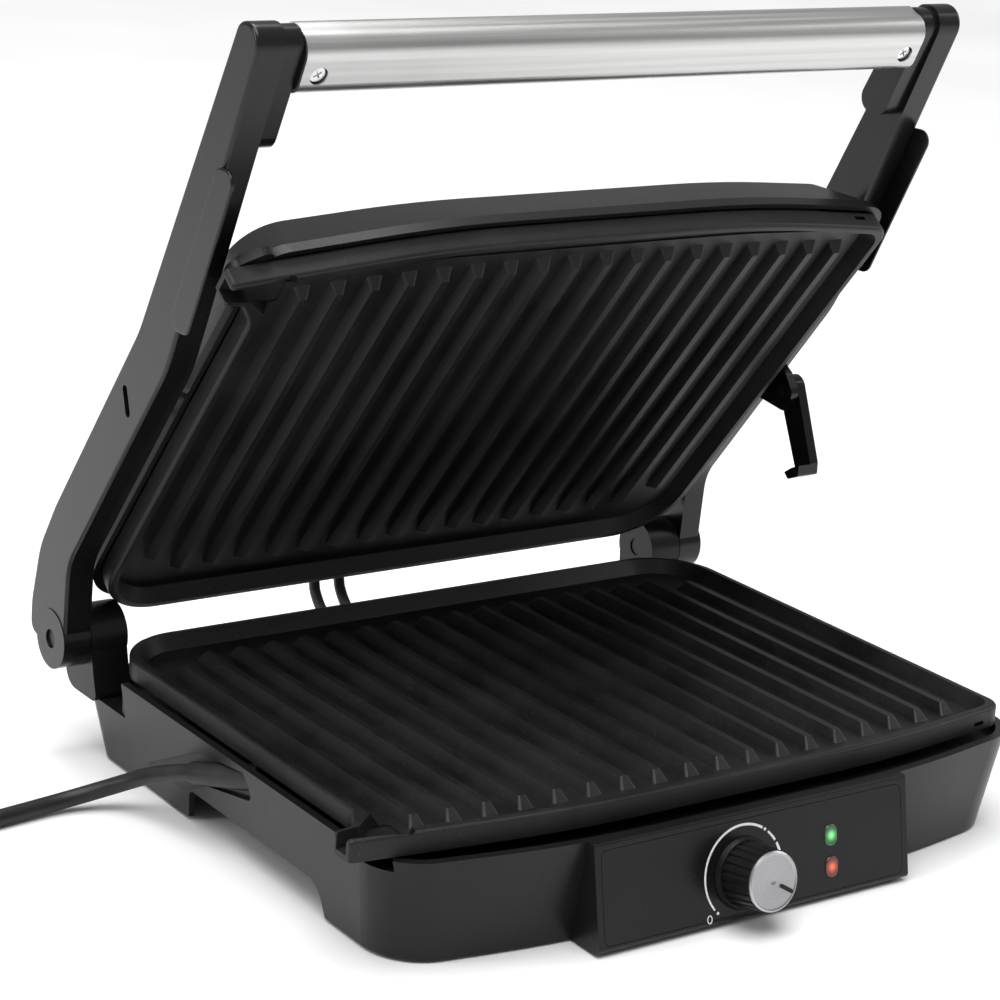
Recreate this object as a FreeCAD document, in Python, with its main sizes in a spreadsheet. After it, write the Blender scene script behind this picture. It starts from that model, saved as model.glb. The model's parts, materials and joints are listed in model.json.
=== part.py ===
import FreeCAD, Part
import math
import os
import Sketcher

# Panini press, millimetres. X to the right, Y to the back, Z up; the table is Z = 0 and the
# lower grill plate is centred on X = 0, Y = 0. The lid is built standing open at LidOpen degrees.

V = FreeCAD.Vector
os.makedirs("parts", exist_ok=True)
doc = FreeCAD.newDocument("PaniniPress")

SIZES = {
    "PlateHalf": 150.0, "PlateRear": 111.4, "PlateFront": -120.6, "RimTop": 51.8, "RimSkirt": 8.5,
    "CookFace": 46.0, "RibTop": 50.2, "RibPitch": 15.35, "RibCount": 18, "RearCorner": 30.0,
    "BaseTop": 42.5, "BaseDeck": 38.0, "BaseFloor": 1.5, "BaseArch": 14.8, "BaseWall": 2.5,
    "ShoulderTop": 27.0, "HingeBack": 125.8, "HingeHigh": 50.8, "BarrelRadius": 12.8,
    "PinRadius": 4.0, "LidOpen": 51.5, "LidGap": 2.0, "LidSetback": 7.4,
    "ArmInner": 155.0, "ArmThick": 12.0, "FloatBack": 58.0, "FloatHigh": 171.0, "FloatTravel": 9.0,
    "HandleHalf": 150.0, "HandleWall": 1.2, "PadRaise": 1.2,
    "KnobX": -8.0, "KnobReach": 18.0, "CapRadius": 11.6, "LockLength": 40.0, "LockThick": 4.6,
    "CordSize": 7.0, "LinkSize": 5.0, "FootRadius": 9.0, "FootThick": 1.5,
}
sheet = doc.addObject("Spreadsheet::Sheet", "Sizes")
for row, (word, number) in enumerate(SIZES.items(), start=1):
    sheet.set("A%d" % row, word)
    sheet.set("B%d" % row, str(number))
    sheet.setAlias("B%d" % row, word)
doc.recompute()


def size(word):
    return float(sheet.get(word))


HINGE = V(0, size("HingeBack"), size("HingeHigh"))
FLOAT = V(0, size("FloatBack"), size("FloatHigh"))
OPEN_LID = FreeCAD.Placement(V(0, 0, 0), FreeCAD.Rotation(V(1, 0, 0), -size("LidOpen")), HINGE)
NODES = []


# ---------------------------------------------------------------- drawing helpers

def in_plane(plane, a, b, c=0.0):
    """A point from two in-plane values and the value along the plane's normal."""
    return {"XY": V(a, b, c), "YZ": V(c, a, b), "XZ": V(a, c, b)}[plane]


def rounded_edges(corners):
    """Straight runs and tangent arcs round a closed loop of (a, b, radius) corners."""
    count = len(corners)
    cut = []
    for i, (a, b, radius) in enumerate(corners):
        here = V(a, b, 0)
        back = V(*corners[i - 1][:2], 0) - here
        ahead = V(*corners[(i + 1) % count][:2], 0) - here
        half = back.getAngle(ahead) / 2.0
        reach = radius / math.tan(half) if radius > 0 else 0.0
        back.normalize()
        ahead.normalize()
        middle = back + ahead
        if radius > 0 and middle.Length > 1e-9:
            middle.normalize()
            centre = here + middle * (radius / math.sin(half))
            top = centre - middle * radius
        else:
            top = None
        cut.append((here + back * reach, top, here + ahead * reach))
    edges = []
    for i, (start, top, end) in enumerate(cut):
        if top is not None:
            edges.append(("arc", start, top, end))
        following = cut[(i + 1) % count][0]
        if (following - end).Length > 1e-6:
            edges.append(("line", end, following))
    return edges


def loop(corners, plane="XY", level=0.0):
    """A closed wire in a plane at a level."""
    edges = []
    for kind, *points in rounded_edges(corners):
        points = [in_plane(plane, p.x, p.y, level) for p in points]
        edges.append(Part.Arc(*points).toShape() if kind == "arc" else Part.makeLine(*points))
    return Part.Wire(edges)


def slab(corners, plane, low, high):
    """A solid of constant thickness between two levels."""
    depth = in_plane(plane, 0, 0, high - low)
    return Part.Face(loop(corners, plane, low)).extrude(depth)


def tapered(low_corners, low, high_corners, high):
    """A solid whose outline changes from one level to another."""
    return Part.makeLoft([loop(low_corners, "XY", low), loop(high_corners, "XY", high)], True, True)


def box(x, y, z=(0.0, 20.0)):
    return Part.makeBox(x[1] - x[0], y[1] - y[0], z[1] - z[0], V(x[0], y[0], z[0]))


def rod(start, end, radius):
    along = end - start
    return Part.makeCylinder(radius, along.Length, start, along)


def fuse(first, *others):
    return first.multiFuse(list(others)).removeSplitter()


def mirror_x(shape):
    return shape.mirror(V(0, 0, 0), V(1, 0, 0))


def soften(shape, radius, chosen):
    """Round the edges that the test picks."""
    edges = [edge for edge in shape.Edges if chosen(edge)]
    return shape.makeFillet(radius, edges) if edges else shape


def level_edge(height, tolerance=0.05):
    def test(edge):
        box_ = edge.BoundBox
        return abs(box_.ZMin - height) < tolerance and abs(box_.ZMax - height) < tolerance
    return test


# ---------------------------------------------------------------- document helpers

def keep(thing, label):
    thing.Label = label
    NODES.append((label, thing))
    return thing


def solid(label, shape, placement=None):
    """A sub-part whose shape is computed here."""
    feature = doc.addObject("Part::Feature", label)
    feature.Shape = shape
    if placement is not None:
        feature.Placement = placement.multiply(shape.Placement)
    return keep(feature, label)


def base_plane(body, role):
    return [item for item in body.Origin.OriginFeatures if item.Role == role][0]


def draw(body, name, plane, corners, offset=0.0, circles=()):
    """A sketch on one of the body's own origin planes."""
    sketch = body.newObject("Sketcher::SketchObject", name)
    role = {"XY": "XY_Plane", "YZ": "YZ_Plane", "XZ": "XZ_Plane"}[plane]
    sketch.AttachmentSupport = [(base_plane(body, role), "")]
    sketch.MapMode = "FlatFace"
    sketch.AttachmentOffset = FreeCAD.Placement(V(0, 0, offset), FreeCAD.Rotation())
    for kind, *points in rounded_edges(corners) if corners else ():
        if kind == "arc":
            arc = Part.Arc(*points).toShape().Curve
            centre = arc.Center
            first = math.atan2(points[0].y - centre.y, points[0].x - centre.x)
            last = math.atan2(points[2].y - centre.y, points[2].x - centre.x)
            turn = (points[1] - points[0]).cross(points[2] - points[1]).z
            if turn < 0:
                first, last = last, first
            circle = Part.Circle(centre, V(0, 0, 1), arc.Radius)
            sketch.addGeometry(Part.ArcOfCircle(circle, first, last), False)
        else:
            sketch.addGeometry(Part.LineSegment(*points), False)
    for a, b, radius in circles:
        sketch.addGeometry(Part.Circle(V(a, b, 0), V(0, 0, 1), radius), False)
    return sketch


def pad(body, name, sketch, length, reverse=False):
    feature = body.newObject("PartDesign::Pad", name)
    feature.Profile = sketch
    feature.Reversed = reverse
    if isinstance(length, str):
        feature.setExpression("Length", length)
    else:
        feature.Length = length
    return feature


def pocket(body, name, sketch, length, reverse=False):
    feature = body.newObject("PartDesign::Pocket", name)
    feature.Profile = sketch
    feature.Length = length
    feature.Reversed = reverse
    before = body.Tip
    doc.recompute()
    return feature


def turned(label, profile, axis_base, axis_way, placement=None):
    """A part turned on a lathe: its half profile in a sketch, revolved round the sketch's own axis."""
    body = doc.addObject("PartDesign::Body", label)
    sketch = draw(body, label + "_profile", "XZ", profile)
    doc.recompute()
    revolution = body.newObject("PartDesign::Revolution", label + "_turn")
    revolution.Profile = sketch
    revolution.ReferenceAxis = (sketch, ["V_Axis"])
    revolution.Angle = 360
    if placement is not None:
        body.Placement = placement
    return keep(body, label)


# ---------------------------------------------------------------- grill plates

half = size("PlateHalf")
rear = size("PlateRear")
front = size("PlateFront")
rim = size("RimTop")
skirt = rim - size("RimSkirt")
cook = size("CookFace")


def plate_outline(inset=0.0, spout=True):
    """Outer edge of a plate seen from above, the drip spout at the front left."""
    side = half - inset
    corner = size("RearCorner") - inset
    start = [(side, rear - inset, corner), (side, -110.0 + inset, 9.0),
             (76.0, front + inset, 500.0), (-76.0, front + inset, 500.0)]
    if spout:
        end = [(-166.0, -108.5 + inset, 1.5), (-166.0, -97.0 - inset, 1.5),
               (-157.0, -95.5 - inset, 6.0), (-side, -84.0, 12.0)]
    else:
        end = [(-side, -109.0 + inset, 6.0)]
    return start + end + [(-side, rear - inset, corner)]


def grill_plate():
    blank = slab(plate_outline(), "XY", skirt, rim)
    blank = soften(blank, 1.6, level_edge(rim))
    top = [(a, b, max(r, 0.5)) for a, b, r in plate_outline(3.6, spout=False)]
    low = [(a, b, max(r - 2, 0.5)) for a, b, r in plate_outline(8.0, spout=False)]
    for corners, lip in ((top, 3.0), (low, 4.4)):
        corners[1] = (corners[1][0], -110.0 + lip, 9.0)
        corners[2] = (76.0, front + lip, 480.0)
        corners[3] = (-76.0, front + lip, 480.0)
        corners[4] = (corners[4][0], -109.0 + lip, 6.0)
    basin = tapered(low, cook, top, rim + 0.01)
    lift = slab(top, "XY", rim, rim + 4)
    trough = slab([(-140.0, -112.0, 2), (-168.0, -105.5, 0), (-168.0, -99.5, 0), (-156.0, -98.5, 5),
                   (-146.0, -90.0, 5), (-138.0, -90.0, 2)], "XY", cook - 0.6, rim + 4)
    plate = blank.cut(basin.fuse(lift)).cut(trough)
    gutter = slab([(140.0, -112.2, 5), (76.0, -115.6, 400), (-76.0, -115.6, 400), (-141.0, -110.0, 3),
                   (-141.0, -101.0, 3), (-76.0, -107.6, 300), (76.0, -107.6, 300), (140.0, -103.5, 3)],
                  "XY", cook - 0.8, cook + 1)
    plate = plate.cut(gutter)
    ribs = []
    count = int(size("RibCount"))
    for i in range(count):
        x = (i - (count - 1) / 2.0) * size("RibPitch")
        bow = 7.0 * (1 - (x / half) ** 2)
        y_front = -97.0 - bow
        y_rear = 90.0 if 0 < i < count - 1 else 80.0
        ends = [[(-3.7, y_front, 1.5), (3.7, y_front, 1.5), (3.7, y_rear, 1.5), (-3.7, y_rear, 1.5)],
                [(-1.6, y_front + 4, 0.8), (1.6, y_front + 4, 0.8), (1.6, y_rear - 4, 0.8),
                 (-1.6, y_rear - 4, 0.8)]]
        rib = tapered(ends[0], cook - 0.2, ends[1], size("RibTop"))
        rib.translate(V(x, 0, 0))
        ribs.append(rib)
    # bosses under the plate take its fixing screws
    bosses = [rod(V(x, y, skirt - 5.0), V(x, y, skirt + 0.1), 5.0) for x in (-120, 120) for y in (-80, 85)]
    plate = fuse(plate, *ribs, *bosses)
    holes = [rod(V(x, y, skirt - 6.0), V(x, y, skirt + 1.0), 1.6) for x in (-120, 120) for y in (-80, 85)]
    return plate.cut(Part.makeCompound(holes))


def lid_side(shape):
    """Turn a shape of the lower half over, into the lid's half as it lies when shut."""
    turned_over = shape.mirror(V(0, 0, rim), V(0, 0, 1))
    turned_over.translate(V(0, size("LidSetback"), size("LidGap")))
    return turned_over


PLATE = grill_plate()
solid("lower_grill_plate", PLATE)
solid("upper_grill_plate", lid_side(PLATE), OPEN_LID)


# ---------------------------------------------------------------- heaters and what holds them

def heater():
    """A tube bent into an M, pressed against the plate's under face."""
    level = skirt - 3.6
    run = [(-40, -95, 0), (-40, 60, 22), (-100, 60, 22), (-100, -72, 22), (100, -72, 22), (100, 60, 22),
           (40, 60, 22), (40, -95, 0)]
    edges = []
    points = [V(a, b, level) for a, b, r in run]
    previous = points[0]
    for i in range(1, len(run) - 1):
        back = points[i - 1] - points[i]
        ahead = points[i + 1] - points[i]
        half_turn = back.getAngle(ahead) / 2.0
        back.normalize()
        ahead.normalize()
        radius = run[i][2]
        reach = radius / math.tan(half_turn)
        middle = back + ahead
        middle.normalize()
        start, end = points[i] + back * reach, points[i] + ahead * reach
        top = points[i] + middle * (radius / math.sin(half_turn) - radius)
        edges.append(Part.makeLine(previous, start))
        edges.append(Part.Arc(start, top, end).toShape())
        previous = end
    edges.append(Part.makeLine(previous, points[-1]))
    path = Part.Wire(edges)
    ring = Part.Wire([Part.makeCircle(3.2, points[0], V(0, 1, 0))])
    return path.makePipeShell([ring], True, False)


def reflector():
    """A shallow sheet tray under the heater, with holes over the plate's bosses."""
    outer = slab([(-132, -88, 12), (132, -88, 12), (132, 96, 12), (-132, 96, 12)], "XY", 30.0, 35.5)
    inner = slab([(-131, -87, 11), (131, -87, 11), (131, 95, 11), (-131, 95, 11)], "XY", 30.8, 36.0)
    tray = outer.cut(inner)
    holes = [rod(V(x, y, 29), V(x, y, 37), 6.0) for x in (-120, 120) for y in (-80, 85)]
    slots = [box((x - 5, x + 5), (-90, -80), (30.5, 37)) for x in (-40, 40)]
    return tray.cut(Part.makeCompound(holes + slots))


# room around the straight ends of the element, where they cross the lid's inner frame
COLD_ENDS = box((-46.0, 46.0), (-99.0, -78.0), (skirt - 7.4, skirt + 1.0))

solid("lower_heating_element", heater())
solid("lower_reflector", reflector())
solid("upper_heating_element", lid_side(heater()), OPEN_LID)
solid("upper_reflector", lid_side(reflector()), OPEN_LID)

# ---------------------------------------------------------------- base housing

top = size("BaseTop")
deck = size("BaseDeck")
floor = size("BaseFloor")
wall = size("BaseWall")
arch = size("BaseArch")
shoulder = size("ShoulderTop")


def base_outline(side, back, corner, middle, inset=0.0):
    return [(side - inset, back - inset, 12.0), (side - inset, corner + inset, 24.0 - inset),
            (78.0, middle + inset, 400.0), (-78.0, middle + inset, 400.0),
            (-side + inset, corner + inset, 24.0 - inset), (-side + inset, back - inset, 12.0)]


# ends of the tapered sleeve that guides the mains cord out of the left wall
SLEEVE = (V(-146.5, -14.0, 36.6), V(-157.0, 20.0, 28.5))
SLEEVE_WAY = SLEEVE[1] - SLEEVE[0]
SLEEVE_CONE = Part.makeCone(5.4, 4.5, SLEEVE_WAY.Length, SLEEVE[0], SLEEVE_WAY)

# route of the two leads from the base's back wall up to the lid, and where each stands across it
LINK = [V(0, 114.2, 33.0), V(0, 132.0, 33.0), V(0, 147.0, 38.5), V(0, 151.5, 52.8), V(0, 138.9, 68.7)]
LINK_X = (-25.0, -12.0)

# the control panel leans back; on it: first value across, second up the slope, third out of it
PANEL_LEAN = math.degrees(math.atan2(8.0, top - floor))
PANEL_MID = 22.0
PANEL = FreeCAD.Placement(V(0, -141.5 + 8.0 * (PANEL_MID - floor) / (top - floor), PANEL_MID),
                          FreeCAD.Rotation(V(1, 0, 0), 90 - PANEL_LEAN))
KNOB_UP = -2.6
LAMPS = ((35.5, 4.0), (35.5, -8.5))
LAMP_SIZE = (3.1, 4.3)


def on_panel(across, up, out):
    return PANEL.multVec(V(across, up, out))


def panel_slab(corners, low, high):
    shape = slab(corners, "XY", low, high)
    shape.Placement = PANEL
    return shape


def oval(x, y, half_wide, half_tall, radius):
    return [(x - half_wide, y - half_tall, radius), (x + half_wide, y - half_tall, radius),
            (x + half_wide, y + half_tall, radius), (x - half_wide, y + half_tall, radius)]


LOW = (149.0, 118.0, -113.0, -125.0)
HIGH = (155.0, 128.0, -117.5, -131.5)


def base_level(height):
    """Outline values of the base at a height between its floor and its top edge."""
    part = (height - floor) / (top - floor)
    return tuple(a + (b - a) * part for a, b in zip(LOW, HIGH))


def hinge_side(x_low, x_high, radius):
    return rod(V(x_low, HINGE.y, HINGE.z), V(x_high, HINGE.y, HINGE.z), radius)


barrel = size("BarrelRadius")
TOWER_IN, TOWER_OUT = 138.0, 154.6


def base_housing():
    body = tapered(base_outline(*LOW), floor, base_outline(*HIGH), top)
    wedge = slab([(-126.0, top, 0), (-133.5, top, 1.0), (-141.5, floor, 2.0), (-120.0, floor, 0)],
                 "YZ", -77.0, 75.0)
    body = fuse(body, wedge)
    # hollow inside: below the deck and above it
    inside = tapered(base_outline(*base_level(floor - 1), wall), floor - 1,
                     base_outline(*base_level(deck - 2.5), wall), deck - 2.5)
    inside_wedge = slab([(-118.0, deck - 2.5, 0), (-130.2, deck - 2.5, 0), (-138.6, floor - 1, 0),
                         (-118.0, floor - 1, 0)], "YZ", -74.5, 72.5)
    above = slab(base_outline(*base_level(deck), 2.8), "XY", deck, top + 1)
    body = body.cut(inside).cut(inside_wedge).cut(above)
    window = slab([(-140.0, -98.0, 10), (140.0, -98.0, 10), (140.0, 101.0, 10), (-140.0, 101.0, 10)],
                  "XY", deck - 4, deck + 1)
    # the plate's spout passes over the left wall
    ear_well = slab([(-145.0, -80.0, 2), (-163.6, -92.0, 6), (-164.0, -106.0, 6), (-148.0, -113.0, 2)],
                    "XY", deck, top + 1)
    body = body.cut(window).cut(ear_well)
    # the back is cut down behind the plate, and further at both ends where the hinge posts stand
    body = body.cut(box((-170, 170), (116.5, 140), (shoulder, 60)))
    for x in ((-170, -TOWER_IN + 1.5), (TOWER_IN - 1.5, 170)):
        body = body.cut(box(x, (86.0, 140), (shoulder, 60)))
    closing = [box((-TOWER_IN + 1.5, TOWER_IN - 1.5), (114.0, 116.5), (shoulder - 2.5, deck)),
               box((-152.4, 152.4), (84.0, 86.0), (shoulder - 2.5, deck - 1)),
               box((-TOWER_IN + 1.5, -TOWER_IN + 4.0), (86.0, 116.5), (shoulder - 2.5, deck)),
               box((TOWER_IN - 4.0, TOWER_IN - 1.5), (86.0, 116.5), (shoulder - 2.5, deck)),
               box((-151.5, 151.5), (86.0, 121.6), (shoulder - 2.5, shoulder))]
    body = fuse(body, *closing)
    keep_out = box((-133, 133), (84, 113.5), (shoulder - 3, deck - 2.5))
    body = body.cut(keep_out)
    # arches in the side walls leave four feet
    arches = slab([(-68.0, -1.0, 0), (-64.0, arch, 9.0), (34.0, arch, 4.0), (38.0, -1.0, 0)], "YZ", -170, 170)
    body = body.cut(arches)
    # a sole closes each foot and carries its rubber pad
    footprint = tapered(base_outline(*LOW, 0.4), floor, base_outline(*base_level(floor + 3), 0.4), floor + 3)
    soles = [box((-155, -112), (-130, -69)), box((112, 155), (-130, -69)),
             box((-155, -112), (60, 120)), box((112, 155), (60, 120))]
    feet = [footprint.common(sole) for sole in soles]
    # hinge posts with the fixed barrels
    posts = []
    for x in (-TOWER_OUT, TOWER_IN):
        width = TOWER_OUT - TOWER_IN
        post = slab([(108.0, shoulder - 1.0, 3.0), (136.0, shoulder - 1.0, 9.0), (138.0, HINGE.z, 0),
                     (HINGE.y - barrel + 1.5, HINGE.z, 0), (111.5, 38.0, 3.0)], "YZ", x, x + width)
        posts += [post, hinge_side(x, x + width, barrel)]
    catch = box((150.0, 158.8), (2.2, 14.2), (18.5, 22.5))
    backing = box((-152.0, -147.5), (-24.0, 90.0), (floor, deck - 1))
    backing = backing.common(tapered(base_outline(*base_level(floor), 1.0), floor,
                                     base_outline(*base_level(deck), 1.0), deck)).cut(arches)
    body = fuse(body, *feet, *posts, catch, backing)
    bores = [hinge_side(-170, -130, size("PinRadius") + 0.05), hinge_side(130, 170, size("PinRadius") + 0.05)]
    lead_holes = [rod(V(x, 112.0, LINK[0].z), V(x, 118.0, LINK[0].z), size("LinkSize") / 2) for x in LINK_X]
    # the cord comes out of a slanting channel in the left wall
    channel = slab([(-19.0, 30.0, 3), (-14.0, 40.5, 3), (24.0, 35.0, 6), (66.0, 15.0, 6), (88.0, -2.0, 0),
                    (58.0, -2.0, 0), (44.0, 10.0, 6), (18.0, 22.5, 6)], "YZ", -160.0, -150.6)
    hole = rod(SLEEVE[0] - SLEEVE_WAY * 0.4, SLEEVE[0], 5.6)
    knob_hole = rod(on_panel(size("KnobX"), KNOB_UP, -12), on_panel(size("KnobX"), KNOB_UP, 4), 4.2)
    lamps = [panel_slab(oval(x, y, LAMP_SIZE[0] + 0.15, LAMP_SIZE[1] + 0.15, 3.1), -12, 4) for x, y in LAMPS]
    recess = panel_slab(oval(-1.0, 0.0, 73.2, 18.2, 3.2), -1.0, 2.0)
    for cutter in bores + lead_holes + [channel, hole, knob_hole, recess, SLEEVE_CONE] + lamps:
        body = body.cut(cutter)
    return body


base_shape = base_housing()
solid("base_housing", base_shape)

COVER_SCREWS = ((-96.0, -100.0), (96.0, -100.0), (-100.0, 100.0), (100.0, 100.0))
bottom = base_level(arch)
cover = slab(base_outline(*bottom, wall + 0.5), "XY", arch + 0.3, arch + 2.3)
cover = cover.cut(box((-80, 78), (-150, -112), (0, 40)))
vents = [slab([(x, y, 1.4), (x + 3, y, 1.4), (x + 3, y + 40, 1.4), (x, y + 40, 1.4)], "XY", 0, 30)
         for x in range(-72, 76, 12) for y in (-60, 20)]
holes = [rod(V(x, y, 10), V(x, y, 25), 1.7) for x, y in COVER_SCREWS]
solid("base_bottom_cover", cover.cut(Part.makeCompound(vents + holes)).cut(base_shape))

FOOT_SPOTS = [(-130.0, -96.0), (130.0, -96.0), (-131.0, 92.0), (131.0, 92.0)]
pads = [rod(V(x, y, 0), V(x, y, floor), size("FootRadius")) for x, y in FOOT_SPOTS]
solid("rubber_feet", Part.makeCompound([soften(p, 0.5, level_edge(0)) for p in pads]))


def screw(spot, way, shank, length, head_radius, head_height):
    """A cross-head screw: its head sits at the spot and its shank points along way."""
    along = V(*way)
    along.normalize()
    head = rod(spot - along * head_height, spot, head_radius)
    body = rod(spot, spot + along * length, shank)
    whole = fuse(head, body)
    side = along.cross(V(0.3, 0.9, 0.2))
    side.normalize()
    other = along.cross(side)
    start = spot - along * head_height
    for arm, cross in ((side, other), (other, side)):
        slot = Part.makeBox(head_radius * 1.1, 0.7, 0.9)
        slot.translate(V(-head_radius * 0.55, -0.35, 0))
        frame = FreeCAD.Matrix(arm.x, cross.x, along.x, start.x, arm.y, cross.y, along.y, start.y,
                               arm.z, cross.z, along.z, start.z, 0, 0, 0, 1)
        slot = slot.transformGeometry(frame)
        whole = whole.cut(slot)
    return whole


base_screws = [screw(V(x, y, arch + 0.3), (0, 0, 1), 1.5, 9.0, 3.2, 1.8) for x, y in COVER_SCREWS]
solid("base_screws", Part.makeCompound(base_screws))
plate_screws = [screw(V(x, y, 29.8), (0, 0, 1), 1.55, 13.0, 3.4, 1.8) for x in (-120, 120) for y in (-80, 85)]
solid("lower_plate_screws", Part.makeCompound(plate_screws))
solid("upper_plate_screws", lid_side(Part.makeCompound(plate_screws)), OPEN_LID)

# ---------------------------------------------------------------- control panel

knob_x = size("KnobX")

fascia = doc.addObject("PartDesign::Body", "control_fascia")
outline = draw(fascia, "fascia_outline", "XY", oval(-1.0, 0.0, 73.0, 18.0, 3.0), -0.95,
               [(knob_x, KNOB_UP, 4.3)])
for x, y in LAMPS:
    for kind, *points in rounded_edges(oval(x, y, LAMP_SIZE[0] + 0.2, LAMP_SIZE[1] + 0.2, 3.2)):
        if kind == "line":
            outline.addGeometry(Part.LineSegment(*points), False)
        else:
            centre = Part.Arc(*points).toShape().Curve.Center
            first = math.atan2(points[0].y - centre.y, points[0].x - centre.x)
            last = math.atan2(points[2].y - centre.y, points[2].x - centre.x)
            outline.addGeometry(Part.ArcOfCircle(Part.Circle(centre, V(0, 0, 1), 3.2), first, last), False)
pad(fascia, "fascia_sheet", outline, 0.95)
fascia.Placement = PANEL
keep(fascia, "control_fascia")

for label, (x, y) in zip(("ready_lens", "power_lens"), LAMPS):
    lens = panel_slab(oval(x, y, LAMP_SIZE[0], LAMP_SIZE[1], 3.0), -3.0, 0.6)
    solid(label, soften(lens, 0.5, lambda edge: all((PANEL.inverse().multVec(v.Point)).z > 0.5
                                                    for v in edge.Vertexes)))
lamp_board = panel_slab([(28, -16, 1), (44, -16, 1), (44, 12, 1), (28, 12, 1)], -8.6, -7.0)
bulbs = [rod(on_panel(x, y, -7.1), on_panel(x, y, -3.4), 1.5) for x, y in LAMPS]
solid("lamp_board", fuse(lamp_board, *bulbs))

# thermostat behind the panel, its spindle through to the knob
case = panel_slab(oval(knob_x, KNOB_UP, 14.0, 11.0, 2.0), -24.0, -9.0)
collar = rod(on_panel(knob_x, KNOB_UP, -9.2), on_panel(knob_x, KNOB_UP, -4.0), 3.9)
bore = rod(on_panel(knob_x, KNOB_UP, -18.0), on_panel(knob_x, KNOB_UP, 0), 2.6)
solid("thermostat", fuse(case, collar).cut(bore))
spindle = rod(on_panel(knob_x, KNOB_UP, -17.5), on_panel(knob_x, KNOB_UP, 11.0), 2.5)
solid("knob_spindle", spindle)


def knob_body():
    skirt_ring = Part.makeCone(14.2, 13.4, 2.2, V(0, 0, 0.5))
    barrel_ = Part.makeCone(12.9, 11.9, 13.8, V(0, 0, 2.7))
    body = fuse(skirt_ring, barrel_)
    flutes = []
    for i in range(24):
        angle = math.radians(15 * i)
        flutes.append(rod(V(13.3 * math.cos(angle), 13.3 * math.sin(angle), 2.9),
                          V(12.4 * math.cos(angle), 12.4 * math.sin(angle), 17.5), 1.1))
    body = body.cut(Part.makeCompound(flutes))
    seat = Part.makeCylinder(11.0, 2.0, V(0, 0, 15.6))
    hollow = Part.makeCylinder(2.55, 11.0, V(0, 0, 0))
    body = body.cut(seat).cut(hollow)
    body.Placement = FreeCAD.Placement(on_panel(knob_x, KNOB_UP, 0), PANEL.Rotation)
    return body


solid("knob_body", knob_body())
cap_out = [(0, 15.7, 0), (10.8, 15.7, 0), (10.8, 16.7, 0), (11.6, 16.7, 0), (11.6, 17.4, 0), (10.9, 17.9, 0),
           (10.2, 17.6, 0), (0, 17.3, 0)]
cap = turned("knob_cap", cap_out, None, None,
             FreeCAD.Placement(on_panel(knob_x, KNOB_UP, 0), PANEL.Rotation.multiply(
                 FreeCAD.Rotation(V(1, 0, 0), 0))))

# ---------------------------------------------------------------- arms and handle

inner = size("ArmInner")
outer = inner + size("ArmThick")
pin = size("PinRadius")
ARM = [(-30.0, 327.0, 8.0), (34.0, 187.0, 70.0), (112.0, 87.0, 24.0), (115.0, 43.0, 6.0),
       (129.0, 43.0, 6.0), (133.0, 47.5, 6.0), (146.0, 47.5, 6.0), (145.5, 62.0, 30.0), (138.5, 88.0, 40.0),
       (125.0, 109.0, 20.0), (57.0, 198.0, 60.0), (-11.5, 325.5, 6.0)]
SOCKET = [(-28.0, 325.5, 7.0), (-4.0, 276.0, 8.0), (12.0, 281.0, 6.0), (-12.0, 324.5, 6.0)]
PEG = 1.6
PEG_AT = V(0, 63.5, 163.9)
# the way the lid's pins and pegs move in the arms' slots
LIFT = V(0, 0.30, 0.954)
LIFT.normalize()
LIFT = LIFT * size("FloatTravel")


def oblong(low, high, start, radius):
    """Pieces of a slot across the arm, from start along the lift."""
    ends = [V(low, start.y, start.z), V(low, start.y, start.z) + LIFT]
    side = V(0, LIFT.z, -LIFT.y) * (radius / LIFT.Length)
    corners = [ends[0] + side, ends[1] + side, ends[1] - side, ends[0] - side, ends[0] + side]
    middle = Part.Face(Part.makePolygon(corners)).extrude(V(high - low, 0, 0))
    return [middle] + [rod(end, end + V(high - low, 0, 0), radius) for end in ends]


def arm(side):
    """Right arm for side 1, left arm for side -1."""
    blade = slab(ARM, "YZ", inner, outer)
    blade = soften(blade, 1.5, lambda edge: abs(edge.BoundBox.XMin - outer) < 0.01)
    knuckle = rod(V(inner, HINGE.y, HINGE.z), V(outer + 0.4, HINGE.y, HINGE.z), barrel)
    socket = slab(SOCKET, "YZ", inner - 8.0, inner + 0.5)
    long_pad = slab([(-15.5, 272.0, 5.0), (16.5, 205.0, 5.0), (32.0, 205.0, 5.0), (-1.0, 272.0, 5.0)], "YZ",
                    outer - 0.2, outer + size("PadRaise"))
    long_pad = soften(long_pad, 0.8, lambda edge: edge.BoundBox.XMin > outer + size("PadRaise") - 0.01)
    shape = fuse(blade, knuckle, socket, long_pad)
    pieces = [rod(V(inner - 1, HINGE.y, HINGE.z), V(outer + 2, HINGE.y, HINGE.z), pin + 0.05)]
    pieces += oblong(inner - 12.0, outer - 4.0, FLOAT, pin + 0.05)
    pieces += oblong(inner - 12.0, outer + 2.0, PEG_AT, PEG + 0.25)
    for piece in pieces:
        shape = shape.cut(piece)
    if side > 0:
        lug = slab([(64.0, 160.0, 0), (52.0, 152.0, 3.0), (46.0, 144.0, 5.0), (50.0, 134.5, 4.0),
                    (76.0, 138.0, 0)], "YZ", 157.0, 161.0)
        shape = fuse(shape, lug)
        shape = shape.cut(rod(V(150, LOCK.y, LOCK.z), V(170, LOCK.y, LOCK.z), 2.55))
    return shape if side > 0 else mirror_x(shape)


LOCK = V(0, 54.0, 144.0)
solid("right_arm", arm(1))
solid("left_arm", arm(-1))

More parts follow.
